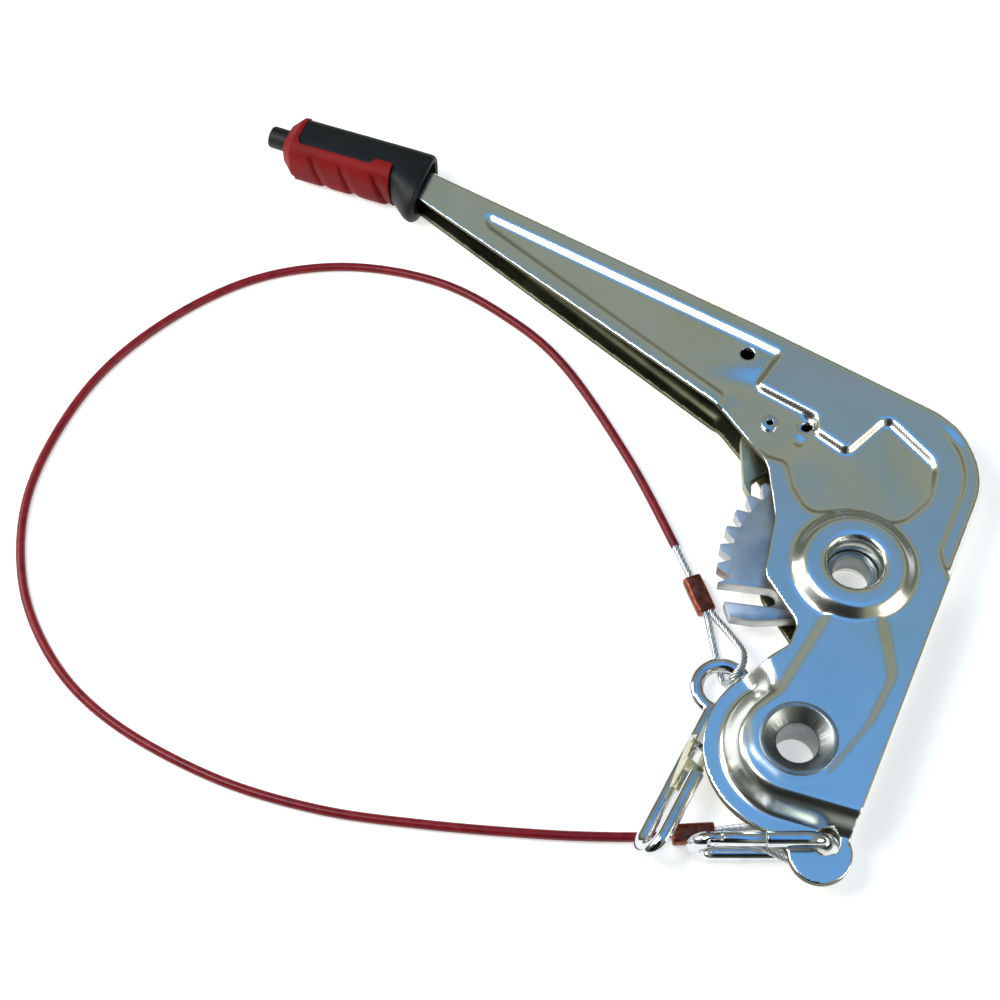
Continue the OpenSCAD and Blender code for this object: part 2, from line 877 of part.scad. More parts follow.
// Round gate, forked over the ring's flattened end
module link_gate() {
  color(steel)
    translate([0, link_plane, link_top])
      difference() {
        union() {
          bar([link_left - 2.5, 0, 0], [link_gate_end, 0, 0], link_gate_r);
        }
        translate([link_left - 10, -1.8, -10])
          cube([14, 3.6, 20]);
        translate([link_left, 0, 0])
          rotate([90, 0, 0])
            cylinder(h = 20, r = gate_pin_r + run_gap, center = true);
      }
}

module link_gate_pin() {
  color(steel)
    translate([link_left, link_plane, link_top])
      rotate([90, 0, 0])
        cylinder(h = 2 * link_gate_r, r = gate_pin_r, center = true);
}

// Tube along a route of points: rings at right angles to the route, closed at both ends
function tangent(p, i) = unit(p[min(i + 1, len(p) - 1)] - p[max(i - 1, 0)]);
function ring(p, i, r, n) =
  let (t = tangent(p, i), u = unit(cross(t, abs(t[2]) > 0.9 ? [1, 0, 0] : [0, 0, 1])), v = cross(u, t))
  [for (k = [0 : n - 1]) p[i] + r * (cos(360 * k / n) * u + sin(360 * k / n) * v)];

// Smooth route through hand-set points
function spline(a, b, c, d, t) =
  0.5 * (2 * b + (c - a) * t + (2 * a - 5 * b + 4 * c - d) * t * t + (3 * b - a - 3 * c + d) * t * t * t);
function smooth(p, n) = concat(
  [for (i = [0 : len(p) - 2], k = [0 : n - 1])
    spline(p[max(i - 1, 0)], p[i], p[i + 1], p[min(i + 2, len(p) - 1)], k / n)],
  [p[len(p) - 1]]);

module tube(p, r, n) {
  skin([for (i = [0 : len(p) - 1]) ring(p, i, r, n)]);
}

// Routes on the table, as [x, y, height of the centre above the table]
function on_floor(p) = [for (q = p) [q[0], q[1], floor_z + q[2]]];
low = sheath_r + 0.1;
sheath_route = on_floor([[-88, 28, low], [-111, 82, low], [-145, 143, low], [-178, 177, low], [-219, 202, low],
  [-272, 212, low], [-325, 202, low], [-375, 170, low], [-412, 126, low], [-435, 65, low], [-433, 9, low],
  [-412, -38, low], [-378, -73, low], [-325, -103, low], [-272, -120, low], [-219, -128, low], [-163, -133, low],
  [-128, -134.5, low], [-101, -134.5, low]]);
rope_a_route = on_floor([[-88.7, 29.7, low], [-84, 17, 3.2], [-78, 1, 4], [-74.5, -9, 4], [-72, -22, 2.6], [-69.5, -38, 1.6],
  [-67, -50.5, 2.2], [-64.8, -53.5, 6.5], [-62.6, -52.2, 11.2], [-58, -46.5, 13.4], [-57, -38, 11.5], [-62, -27, 7.5],
  [-69.5, -15, 5], [-72.8, -8.5, 4.6]]);
rope_b_route = on_floor([[-103, -134.5, low], [-98, -134, 3.4], [-88, -133, 4.4], [-77, -132.4, 5.2], [-62, -131.4, 7.5],
  [-45, -132, 10], [-31, -135.6, 11.5], [-20, -139.2, 11.6], [-15.2, -144, 11.6], [-18, -151, 11.6], [-28, -153, 11.6],
  [-40, -150.5, 11.6], [-52, -144, 11.8], [-62, -137.2, 9.6], [-73, -134.6, 6], [-80, -134.3, 5]]);

module cable_sheath() {
  color(red)
    tube(smooth(sheath_route, 4), sheath_r, 8);
}

module rope_a() {
  color(steel)
    tube(smooth(rope_a_route, 3), rope_r, 8);
}

module rope_b() {
  color(steel)
    tube(smooth(rope_b_route, 3), rope_r, 8);
}

// Oval sleeve crimped over both strands, lying along the rope
module ferrule(p, a) {
  side = (ferrule_w - ferrule_h) / 2;
  translate(p)
    rotate([0, 0, a])
      rotate([90, 0, 90])
        translate([0, 0, -ferrule_len / 2])
          linear_extrude(ferrule_len)
            union() {
              square([2 * side, ferrule_h], center = true);
              for (x = [-side, side])
                translate([x, 0])
                  circle(ferrule_h / 2);
            }
}

module ferrule_a() {
  color(copper)
    ferrule([-77, -1.8, floor_z + 4], -70);
}

module ferrule_b() {
  color(copper)
    ferrule([-86.5, -133.6, floor_z + 4.4], 3);
}

front_shell();
rear_shell();
pivot_bush();
link_bush();
toothed_quadrant();
pawl();
pawl_pin();
spacer_front();
spacer_rear();
pawl_spring();
release_rod();
push_button();
button_spring();
grip_core();
grip_pad();
grip_pin();
snap_hook();
snap_gate();
snap_gate_pin();
link_hook();
link_gate();
link_gate_pin();
cable_sheath();
rope_a();
ferrule_a();
rope_b();
ferrule_b();
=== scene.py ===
import math

import bmesh
import bpy
import numpy as np
from mathutils import Matrix, Vector


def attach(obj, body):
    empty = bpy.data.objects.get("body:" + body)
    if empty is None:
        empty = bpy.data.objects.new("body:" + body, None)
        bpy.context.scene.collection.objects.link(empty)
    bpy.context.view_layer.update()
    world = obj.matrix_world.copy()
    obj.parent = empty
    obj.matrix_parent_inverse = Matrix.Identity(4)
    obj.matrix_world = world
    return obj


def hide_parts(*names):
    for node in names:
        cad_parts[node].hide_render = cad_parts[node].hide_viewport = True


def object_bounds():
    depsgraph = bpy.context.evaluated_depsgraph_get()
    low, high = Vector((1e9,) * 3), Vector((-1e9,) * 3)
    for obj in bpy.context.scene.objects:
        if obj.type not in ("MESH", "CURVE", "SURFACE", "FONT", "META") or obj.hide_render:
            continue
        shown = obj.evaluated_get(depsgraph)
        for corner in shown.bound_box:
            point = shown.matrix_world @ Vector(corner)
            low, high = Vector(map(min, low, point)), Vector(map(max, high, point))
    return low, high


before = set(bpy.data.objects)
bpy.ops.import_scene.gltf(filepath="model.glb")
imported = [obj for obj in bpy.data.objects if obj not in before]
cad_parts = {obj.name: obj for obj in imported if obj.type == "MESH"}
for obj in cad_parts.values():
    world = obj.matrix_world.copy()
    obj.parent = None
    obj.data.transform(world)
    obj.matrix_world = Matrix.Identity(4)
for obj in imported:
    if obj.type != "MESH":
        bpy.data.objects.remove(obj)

cad_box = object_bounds()
scene = bpy.context.scene
scene.view_settings.view_transform = "Standard"

# Camera: it looks down at 60 degrees from the front of the table, from about one metre,
# through a lens that takes in the whole loop of the cable.
MM = 0.001
CAMERA_AT, CAMERA_AIM = (-181.2, -482.2, 917.7), (-181.2, 37.8, 17)


def pointed(obj, place, aim):
    """Puts a lamp or camera at a place, looking at another, both in millimetres."""
    obj.location = Vector(place) * MM
    obj.rotation_euler = (Vector(aim) * MM - obj.location).to_track_quat("-Z", "Y").to_euler()
    scene.collection.objects.link(obj)
    return obj


lens = bpy.data.cameras.new("camera")
lens.sensor_width = 36
lens.lens = 72
scene.camera = pointed(bpy.data.objects.new("camera", lens), CAMERA_AT, CAMERA_AIM)


# Table: a plain sheet of white paper under the lever.
# It stays white to the eye and in the metal, and keeps the soft shadow.
def lin(text):
    """Linear colour of an sRGB hex value."""
    parts = [int(text[i:i + 2], 16) / 255 for i in (1, 3, 5)]
    return [c / 12.92 if c <= 0.04045 else ((c + 0.055) / 1.055) ** 2.4 for c in parts] + [1]


def add(tree, kind, links=None, **settings):
    """Adds a node; links maps an input to a socket or a value."""
    n = tree.nodes.new(kind)
    for name, value in settings.items():
        setattr(n, name, value)
    for name, value in (links or {}).items():
        socket = n.inputs[name]
        if isinstance(value, bpy.types.NodeSocket):
            tree.links.new(value, socket)
        else:
            socket.default_value = value
    return n


def ramp(tree, fac, *stops):
    """Colour ramp with stops of position and hex colour."""
    n = add(tree, "ShaderNodeValToRGB", {"Fac": fac})
    cr = n.color_ramp
    while len(cr.elements) < len(stops):
        cr.elements.new(0.5)
    for e, (at, colour) in zip(cr.elements, stops):
        e.position = at
        e.color = lin(colour)
    return n.outputs["Color"]


def new_material(name):
    """Empty material with its output node."""
    m = bpy.data.materials.new(name)
    m.use_nodes = True
    m.node_tree.nodes.clear()
    return m, m.node_tree


floor_z = cad_box[0][2]
bm = bmesh.new()
bmesh.ops.create_grid(bm, x_segments=1, y_segments=1, size=6.0)
bmesh.ops.translate(bm, vec=(0, 0, floor_z - 0.0002), verts=bm.verts)
table_mesh = bpy.data.meshes.new("table")
bm.to_mesh(table_mesh)
bm.free()
table = bpy.data.objects.new("table", table_mesh)
scene.collection.objects.link(table)
# Uncoated white paper, a little warm.
mat, t = new_material("white_paper")
rays = add(t, "ShaderNodeLightPath")
straight = rays.outputs["Is Camera Ray"]
for ray in ("Is Glossy Ray", "Is Transmission Ray"):
    straight = add(t, "ShaderNodeMath", {0: straight, 1: rays.outputs[ray]}, operation="MAXIMUM").outputs[0]
seen = add(t, "ShaderNodeMath", {0: straight, 1: 0.5}, operation="MULTIPLY")
paper = add(t, "ShaderNodeBsdfDiffuse", {"Color": lin("#f6f3ec")})
glow = add(t, "ShaderNodeEmission", {"Color": lin("#ffffff"), "Strength": seen.outputs[0]})
both = add(t, "ShaderNodeAddShader", {0: paper.outputs[0], 1: glow.outputs[0]})
add(t, "ShaderNodeOutputMaterial", {"Surface": both.outputs[0]})
table_mesh.materials.append(mat)

# Light: open sky high up and behind, a dim room low down, and one dark patch in front,
# which draws the black edges of the pressed forms. Three soft lamps stand round the table.
DARK_WAY = (-0.36, -0.68, 0.64)
world = bpy.data.worlds.new("room")
scene.world = world
world.use_nodes = True
w = world.node_tree
w.nodes.clear()
where = add(w, "ShaderNodeTexCoord")
height = add(w, "ShaderNodeSeparateXYZ", {"Vector": where.outputs["Generated"]})
sky = ramp(
    w, height.outputs["Z"], (0.0, "#7c7e74"), (0.12, "#44473d"), (0.3, "#6c6f62"), (0.5, "#909282"), (0.7, "#97a094"),
    (0.76, "#9a9a80"), (0.79, "#91978a"), (0.815, "#7d9094"), (0.845, "#748a92"), (0.868, "#6e9dc9"),
    (0.893, "#69acf8"), (1.0, "#74b0f4"))
facing = add(w, "ShaderNodeVectorMath", {0: where.outputs["Generated"], 1: DARK_WAY}, operation="DOT_PRODUCT")
dark = add(w, "ShaderNodeMapRange", {
    "Value": facing.outputs["Value"], "From Min": 0.77, "From Max": 0.85, "To Max": 0.97})
room = add(w, "ShaderNodeMix", {0: dark.outputs[0], 6: sky, 7: lin("#12130f")}, data_type="RGBA")
air = add(w, "ShaderNodeBackground", {"Color": room.outputs[2], "Strength": 1.0})
add(w, "ShaderNodeOutputWorld", {"Surface": air.outputs[0]})


def lamp(name, place, aim, size, power, colour):
    """Square soft lamp."""
    light = bpy.data.lights.new(name, "AREA")
    light.shape = "RECTANGLE"
    light.size, light.size_y = size
    light.energy = power
    light.color = lin(colour)[:3]
    return pointed(bpy.data.objects.new(name, light), place, aim)


lamp("high_left_box", (-680, -90, 900), (-110, 180, 0), (0.45, 0.45), 6, "#ffffff")
lamp("low_left_box", (-1050, 290, 500), (-100, 50, 0), (0.6, 0.35), 4, "#ffffff")
lamp("low_right_box", (970, -490, 500), (-50, 50, 0), (0.6, 0.4), 5, "#fffaf0")


# Breakaway cable: a thin wire rope in a red PVC sheath, about a metre long.
# It lies in one wide loop on the table, from the link hook at the lever's lug back to the snap hook.
def smooth(points, steps):
    """Smooth route through the given points."""
    out = []
    last = len(points) - 1
    for i in range(last):
        a, b, c, d = points[max(i - 1, 0)], points[i], points[i + 1], points[min(i + 2, last)]
        for k in range(steps):
            s = k / steps
            out.append(0.5 * (
                2 * b + (c - a) * s + (2 * a - 5 * b + 4 * c - d) * s ** 2 + (3 * b - a - 3 * c + d) * s ** 3))
    return out + [points[last]]


def on_table(points):
    """Route in metres from points in millimetres whose last number is the height above the table."""
    return [Vector((x * MM, y * MM, floor_z + z * MM)) for x, y, z in points]


def tube(name, routes, radius):
    """Curve object with one open spline for each route."""
    data = bpy.data.curves.new(name, "CURVE")
    data.dimensions = "3D"
    data.bevel_depth = radius
    data.bevel_resolution = 4
    data.use_fill_caps = True
    for route in routes:
        spline = data.splines.new("POLY")
        spline.points.add(len(route) - 1)
        for p, v in zip(spline.points, route):
            p.co = (*v, 1)
        spline.use_smooth = True
    obj = bpy.data.objects.new(name, data)
    scene.collection.objects.link(obj)
    return obj


SHEATH_R = 2.5
LIES_AT = SHEATH_R + 0.1
sheath_points = [
    (-101, -134.5), (-128, -134.5), (-163, -133), (-219, -128), (-272, -120), (-325, -103), (-378, -73),
    (-412, -38), (-433, 9), (-435, 65), (-412, 126), (-375, 170), (-325, 202), (-272, 212), (-219, 202),
    (-178, 177), (-145, 143), (-111, 82), (-88, 28)]
sheath_route = smooth(on_table([(x, y, LIES_AT) for x, y in sheath_points]), 10)
sheath = tube("red_sheath", [sheath_route], SHEATH_R * MM)
# Extruded PVC: smooth, deep red and half glossy, with faint scuffs and dust.
mat, t = new_material("red_pvc_extruded")
at = add(t, "ShaderNodeTexCoord").outputs["Object"]
scuff = add(t, "ShaderNodeTexNoise", {"Vector": at, "Scale": 1 / (6.25 * MM), "Detail": 6.0, "Roughness": 0.6})
tone = ramp(t, scuff.outputs["Fac"], (0.3, "#660a10"), (0.55, "#821018"), (0.8, "#951d25"))
gloss = add(t, "ShaderNodeMapRange", {"Value": scuff.outputs["Fac"], "To Min": 0.26, "To Max": 0.45})
fine = add(t, "ShaderNodeTexNoise", {"Vector": at, "Scale": 1 / (0.714 * MM), "Detail": 2.0})
rough_skin = add(t, "ShaderNodeBump", {"Height": fine.outputs["Fac"], "Strength": 0.08, "Distance": 0.0003})
pvc = add(t, "ShaderNodeBsdfPrincipled", {
    "Base Color": tone, "Roughness": gloss.outputs[0], "Normal": rough_skin.outputs[0],
    "IOR": 1.53, "Specular IOR Level": 0.35})
add(t, "ShaderNodeOutputMaterial", {"Surface": pvc.outputs[0]})
sheath.data.materials.append(mat)
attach(sheath, "lever")
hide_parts("cable_sheath")


# Wire rope: at both ends the rope comes out of the sheath bare and is turned back into an eye.
# Galvanised steel, six strands laid round a core.
STRAND_R, LAY_R, LAY_PITCH = 0.7, 1.32, 17


def strands(route, count, lay_r, pitch):
    """Strand routes twisted round a route, after one straight core."""
    side = Vector((0, 0, 1))
    out = [route] + [[] for _ in range(count)]
    run = 0.0
    for i, p in enumerate(route):
        along = (route[min(i + 1, len(route) - 1)] - route[max(i - 1, 0)]).normalized()
        side = (side - along * side.dot(along)).normalized()
        over = along.cross(side)
        if i:
            run += (p - route[i - 1]).length
        for k in range(count):
            a = math.tau * (k / count + run / pitch)
            out[k + 1].append(p + (side * math.cos(a) + over * math.sin(a)) * lay_r)
    return out


rope_a_points = [
    (-88.7, 29.7, 2.6), (-84, 17, 3.2), (-78, 1, 4), (-74.5, -9, 4), (-72, -22, 2.6), (-69.5, -38, 1.6),
    (-67, -50.5, 2.2), (-64.8, -53.5, 6.5), (-62.6, -52.2, 11.2), (-58, -46.5, 13.4), (-57, -38, 11.5),
    (-62, -27, 7.5), (-69.5, -15, 5), (-72.8, -8.5, 4.6)]
rope_b_points = [
    (-103, -134.5, 2.6), (-98, -134, 3.4), (-88, -133, 4.4), (-77, -132.4, 5.2), (-62, -131.4, 7.5),
    (-45, -132, 10), (-31, -135.6, 11.5), (-20, -139.2, 11.6), (-15.2, -144, 11.6), (-18, -151, 11.6),
    (-28, -153, 11.6), (-40, -150.5, 11.6), (-52, -144, 11.8), (-62, -137.2, 9.6), (-73, -134.6, 6),
    (-80, -134.3, 5)]
# Galvanised wire, drawn bright: fine light strands with dark grooves between them.
wire_mat, t = new_material("galvanised_wire")
at = add(t, "ShaderNodeTexCoord").outputs["Object"]
dull = add(t, "ShaderNodeTexNoise", {"Vector": at, "Scale": 1 / (1.43 * MM), "Detail": 3.0})
tone = ramp(t, dull.outputs["Fac"], (0.3, "#c4c7c8"), (0.7, "#eceded"))
wire = add(t, "ShaderNodeBsdfPrincipled", {"Base Color": tone, "Metallic": 1.0, "Roughness": 0.32})
add(t, "ShaderNodeOutputMaterial", {"Surface": wire.outputs[0]})
for name, points in (("rope_a", rope_a_points), ("rope_b", rope_b_points)):
    route = smooth(on_table(points), 14)
    rope = tube(name + "_strands", strands(route, 6, LAY_R * MM, LAY_PITCH * MM), STRAND_R * MM)
    rope.data.bevel_resolution = 1
    rope.data.materials.append(wire_mat)
    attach(rope, "lever")
    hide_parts(name)

# Ferrules: short copper sleeves pressed flat over the rope and its turned-back end.
# Each has the marks of the crimping tool across its broad faces.
FERRULE = (21, 10, 7)
FERRULE_ROUND, FERRULE_RIM = 2.1, 0.7
CRIMP_LINES = (-6.2, -5, 5, 6.2)
CRIMPED = 5.5
# Bare copper, tumbled and gone a little brown.
copper_mat, t = new_material("crimped_copper")
at = add(t, "ShaderNodeTexCoord").outputs["Object"]
stain = add(t, "ShaderNodeTexNoise", {"Vector": at, "Scale": 1 / (3.85 * MM), "Detail": 5.0, "Roughness": 0.65})
tone = ramp(t, stain.outputs["Fac"], (0.3, "#5f2c1f"), (0.55, "#8a4a37"), (0.8, "#a5644c"))
gloss = add(t, "ShaderNodeMapRange", {"Value": stain.outputs["Fac"], "To Min": 0.26, "To Max": 0.46})
copper = add(t, "ShaderNodeBsdfPrincipled", {"Base Color": tone, "Metallic": 1.0, "Roughness": gloss.outputs[0]})
add(t, "ShaderNodeOutputMaterial", {"Surface": copper.outputs[0]})
for name, (x, y, z), turn in (("ferrule_a", (-77, -1.8, 4), -70), ("ferrule_b", (-86.5, -133.6, 4.4), 3)):
    bm = bmesh.new()
    bmesh.ops.create_cube(bm, size=1.0)
    bmesh.ops.scale(bm, vec=Vector(FERRULE) * MM, verts=bm.verts)
    long_edges = [e for e in bm.edges if abs(e.verts[0].co.x - e.verts[1].co.x) > 0.001]
    bmesh.ops.bevel(bm, geom=long_edges, offset=FERRULE_ROUND * MM, offset_type="OFFSET", segments=4, profile=0.5,
                    affect="EDGES", material=-1)
    for k in CRIMP_LINES:
        bmesh.ops.bisect_plane(bm, geom=bm.verts[:] + bm.edges[:] + bm.faces[:], dist=1e-6,
                               plane_co=(k * MM, 0, 0), plane_no=(1, 0, 0))
    for v in bm.verts:
        if abs(v.co.x) < CRIMPED * MM:
            v.co.z *= 0.93
            v.co.y *= 1.02
    rims = [e for e in bm.edges if all(abs(abs(v.co.x) - FERRULE[0] / 2 * MM) < 1e-5 for v in e.verts)]
    bmesh.ops.bevel(bm, geom=rims, offset=FERRULE_RIM * MM, offset_type="OFFSET", segments=3, profile=0.5,
                    affect="EDGES", material=-1)
    place = Matrix.Translation((x * MM, y * MM, floor_z + z * MM)) @ Matrix.Rotation(math.radians(turn), 4, "Z")
    bmesh.ops.transform(bm, matrix=place, verts=bm.verts)
    mesh = bpy.data.meshes.new(name + "_crimped")
    bm.to_mesh(mesh)
    bm.free()
    mesh.shade_smooth()
    mesh.set_sharp_from_angle(angle=math.radians(50))
    mesh.materials.append(copper_mat)
    sleeve = bpy.data.objects.new(name + "_crimped", mesh)
    scene.collection.objects.link(sleeve)
    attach(sleeve, "lever")
    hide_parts(name)


# Hooks: a snap hook on the cable's free end, and a link hook that is closed through the lever's lug.
# Both are bent from round steel rod, plated bright, each with a hinged gate.
def dressed(node, name, body, mat, shape=None):
    """Merged copy of a CAD node's mesh in its place, worked on by shape."""
    bm = bmesh.new()
    bm.from_mesh(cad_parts[node].data)
    bmesh.ops.remove_doubles(bm, verts=bm.verts, dist=0.00002)
    if shape:
        shape(bm)
    mesh = bpy.data.meshes.new(name)
    bm.to_mesh(mesh)
    bm.free()
    mesh.materials.append(mat)
    obj = bpy.data.objects.new(name, mesh)
    scene.collection.objects.link(obj)
    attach(obj, body)
    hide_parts(node)
    return obj


def flats(bm):
    """Joins the triangles of flat faces again."""
    bmesh.ops.dissolve_limit(bm, angle_limit=math.radians(0.6), verts=bm.verts, edges=bm.edges)


def eased(obj, width, angle=32):
    """Small round on every edge, shaded smooth between them."""
    obj.data.shade_smooth()
    m = obj.modifiers.new("edge", "BEVEL")
    m.width = width * MM
    m.segments = 2
    m.limit_method = "ANGLE"
    m.angle_limit = math.radians(angle)
    m.harden_normals = True
    return obj


def softened(obj, voxel, times):
    """Even fine mesh with every edge rounded, as pressed or moulded."""
    obj.data.shade_smooth()
    m = obj.modifiers.new("even", "REMESH")
    m.mode = "VOXEL"
    m.voxel_size = voxel * MM
    m.use_smooth_shade = True
    s = obj.modifiers.new("soft", "SMOOTH")
    s.factor = 0.5
    s.iterations = times
    return obj


# Bright zinc on smooth rod: close to chrome, with faint drawing lines.
bright_mat, t = new_material("bright_zinc_plated_rod")
at = add(t, "ShaderNodeTexCoord").outputs["Object"]
cloud = add(t, "ShaderNodeTexNoise", {"Vector": at, "Scale": 1 / (8.33 * MM), "Detail": 4.0})
tone = ramp(t, cloud.outputs["Fac"], (0.3, "#c9ced3"), (0.7, "#e6e8ea"))
gloss = add(t, "ShaderNodeMapRange", {"Value": cloud.outputs["Fac"], "To Min": 0.06, "To Max": 0.17})
bright = add(t, "ShaderNodeBsdfPrincipled", {"Base Color": tone, "Metallic": 1.0, "Roughness": gloss.outputs[0]})
add(t, "ShaderNodeOutputMaterial", {"Surface": bright.outputs[0]})
# Yellow chromate on the small gate stampings.
yellow_mat, t = new_material("yellow_chromated_steel")
at = add(t, "ShaderNodeTexCoord").outputs["Object"]
cloud = add(t, "ShaderNodeTexNoise", {"Vector": at, "Scale": 1 / (4.17 * MM), "Detail": 4.0})
tone = ramp(t, cloud.outputs["Fac"], (0.3, "#c0b684"), (0.55, "#dad5b8"), (0.75, "#cdc8ba"))
gloss = add(t, "ShaderNodeMapRange", {"Value": cloud.outputs["Fac"], "To Min": 0.2, "To Max": 0.36})
yellow = add(t, "ShaderNodeBsdfPrincipled", {"Base Color": tone, "Metallic": 1.0, "Roughness": gloss.outputs[0]})
add(t, "ShaderNodeOutputMaterial", {"Surface": yellow.outputs[0]})
snap_hook = softened(dressed("snap_hook", "snap_hook_rod", "lever", bright_mat), 0.55, 6)
link_hook = softened(dressed("link_hook", "link_hook_rod", "lever", bright_mat), 0.55, 6)
snap_gate = eased(dressed("snap_gate", "snap_gate_plate", "snap_latch", yellow_mat, flats), 0.3)
link_gate = eased(dressed("link_gate", "link_gate_bar", "link_latch", bright_mat, flats), 0.5)
snap_pin = eased(dressed("snap_gate_pin", "snap_gate_rivet", "lever", bright_mat, flats), 0.3)
link_pin = eased(dressed("link_gate_pin", "link_gate_rivet", "lever", bright_mat, flats), 0.3)

# Shells: two halves pressed from 2 mm zinc-plated sheet and closed seam to seam, each the mirror of the other.
# The press drew a long recess that widens into a pocket, a coned boss with its collar turned in, a raised panel
# between the bores, a rounded shoulder down to the web, and a lobe that steps down to a flat rim with the lug.
SHEET = 2.0
CHEEK_Z, SEAM_Z = 14.0, 0.15
HANDLE_BEND, HANDLE_FALL, HANDLE_WAY = (-48, 131), 1.67, 144
BEND_R = 4
RECESS_DEEP, BEAD = 1.3, 4.8
PANEL_RISE, PANEL_EDGE = 1.4, 6.5
BOSS_R, BOSS_RISE, BOSS_RUN = 32.5, 6, 7
COLLAR_R, COLLAR_ROLL, COLLAR_FOOT = 13.5, 4.5, 4.8
LINK = (-35.5, -95.5)
LUG, LUG_R = (-27.5, -149.0), 15.5
LOBE_R, LOBE_START, LOBE_STOP = 28.5, 112, 252.5
RIM_R, RIM_START = 45.5, 106


def arc(centre, r, a0, a1, n):
    """Points of an arc, angles in degrees."""
    return [(centre[0] + r * math.cos(math.radians(a0 + (a1 - a0) * i / n)),
             centre[1] + r * math.sin(math.radians(a0 + (a1 - a0) * i / n))) for i in range(n + 1)]


def rounded(corners):
    """Closed outline from corners of x, y and radius."""
    out = []
    for i, (x, y, r) in enumerate(corners):
        b = Vector((x, y))
        u = (Vector(corners[i - 1][:2]) - b).normalized()
        v = (Vector(corners[(i + 1) % len(corners)][:2]) - b).normalized()
        if r <= 0:
            out.append((x, y))
            continue
        half = math.acos(max(-1, min(1, u.dot(v)))) / 2
        o = b + (u + v).normalized() * r / math.sin(half)
        p = b + u * r / math.tan(half) - o
        turn = math.copysign(math.pi - 2 * half, v.x * u.y - v.y * u.x)
        n = max(3, int(abs(turn) * r / 1.5))
        for k in range(n + 1):
            q = Matrix.Rotation(turn * k / n, 2) @ p + o
            out.append((q.x, q.y))
    return np.array(out)


def outline_gap(outline, p):
    """Distance of points from an outline, less than nothing inside it."""
    a, b = outline, np.roll(outline, -1, axis=0)
    best = np.full(len(p), 1e9)
    inside = np.zeros(len(p), bool)
    for (ax, ay), (bx, by) in zip(a, b):
        ex, ey = bx - ax, by - ay
        wx, wy = p[:, 0] - ax, p[:, 1] - ay
        t = np.clip((wx * ex + wy * ey) / max(ex * ex + ey * ey, 1e-9), 0, 1)
        best = np.minimum(best, (wx - t * ex) ** 2 + (wy - t * ey) ** 2)
        if ay != by:
            inside ^= ((ay > p[:, 1]) != (by > p[:, 1])) & (p[:, 0] < ax + wy * ex / ey)
    return np.where(inside, -1, 1) * np.sqrt(best)


def ease(t):
    """Smooth rise from 0 to 1."""
    t = np.clip(t, 0, 1)
    return t * t * (3 - 2 * t)


def on_grip(s, v):
    """Point s along the grip and v across it."""
    a = math.radians(-21)
    front = (-308, 293)
    return (front[0] + s * math.cos(a) - v * math.sin(a), front[1] + s * math.sin(a) + v * math.cos(a))


WALL_FOOT, RIM_FOOT = (-8.52, -133.89), (-15.52, -149.51)
cheek = rounded(
    [(*WALL_FOOT, 0), (85.7, 76.3, 47), (-219, 264.3, 10)]
    + [(*on_grip(s, v), 0) for s, v in ((28, 6), (28, -8), (84, -8))]
    + [(-228, 243.6, 4), (-62, 97, 25), (-40, 63, 25), (-38, 30, 25), (-46, -4, 13), (-31, -32, 7), (-36.5, -44, 5),
       (-50, -52.5, 0)]
    + [(x, y, 0) for x, y in arc(LINK, LOBE_R, LOBE_START, LOBE_STOP, 40)])
rim = np.array(arc(LINK, RIM_R, RIM_START, LOBE_STOP, 48) + [RIM_FOOT, WALL_FOOT, LINK])
neck = np.array([
    (LUG[0] - LUG_R, LUG[1]), (LUG[0] + LUG_R, LUG[1]), (-13.43, -144.84), arc(LINK, 39.5, 244.5, 245, 1)[0]])
web_zone = np.array([
    (30, -3), (110, -3), (110, 140), (-270, 345), (-310, 292), on_grip(28, 3.2), (-226, 258), (-60, 130), (20, 60)])
recess = rounded([
    (-190, 231.5, 2), (-188, 222.5, 3), (-61, 105.5, 4), (-64, 96, 0), (-50, 76, 0), (-40, 66.5, 3), (-30, 63, 5),
    (-28, 48, 8), (-21, 32, 10), (0, 34, 30), (26, 24.5, 14), (44, 40, 14), (49, 62, 12), (26, 91, 5), (3, 69.5, 4),
    (-12, 82, 4), (-12, 92, 4), (-43, 112, 4), (-28.5, 132.5, 2)])
upper_wall = [(-190, 231.5), (-28.5, 132.5), (-43, 112), (-12, 92), (-12, 82), (3, 69.5), (26, 91), (49, 62)]
lower_wall = [
    (-188, 222.5), (-61, 105.5), (-64, 96), (-50, 76), (-40, 66.5), (-30, 63), (-28, 48), (-21, 32), (0, 34),
    (26, 24.5), (44, 40)]
panel = rounded([
    (11, -23, 0), (-13, -23, 0), (-42, -68, 8), (-59, -80, 12), (-59, -102, 14), (-44, -117, 12), (-24, -115, 12),
    (0, -87, 12), (14, -62, 20)])
holes = [(0, 0, COLLAR_R), (*LINK, 17.5), (-46, 133, 4), (-17, 87, 2.5), (-37, 88, 3.5), (-24, -143.5, 6.5)]
dimples = [(-17.5, 88, 6.5, 1.6), (-22, 77, 4.5, 1.2)]


def sheet_gap(p):
    """Distance of points from the cut edge of the sheet, less than nothing on the sheet."""
    d = np.minimum(outline_gap(cheek, p), outline_gap(rim, p))
    d = np.minimum(d, np.minimum(np.hypot(p[:, 0] - LUG[0], p[:, 1] - LUG[1]) - LUG_R, outline_gap(neck, p)))
    for x, y, r in holes:
        d = np.maximum(d, r - np.hypot(p[:, 0] - x, p[:, 1] - y))
    return d


def recessed(p):
    """How deep the recess lies: more towards its upper wall, and most in the bell."""
    near, far = (np.abs(outline_gap(np.array(line + line[-2:0:-1]), p)) for line in (lower_wall, upper_wall))
    bell = ease((125 - p[:, 1]) / 12)
    deep = RECESS_DEEP + (RECESS_DEEP + bell) * near / np.maximum(near + far, 0.1)
    return deep * ease(0.5 - outline_gap(recess, p) / (BEAD - 0.7 * bell))


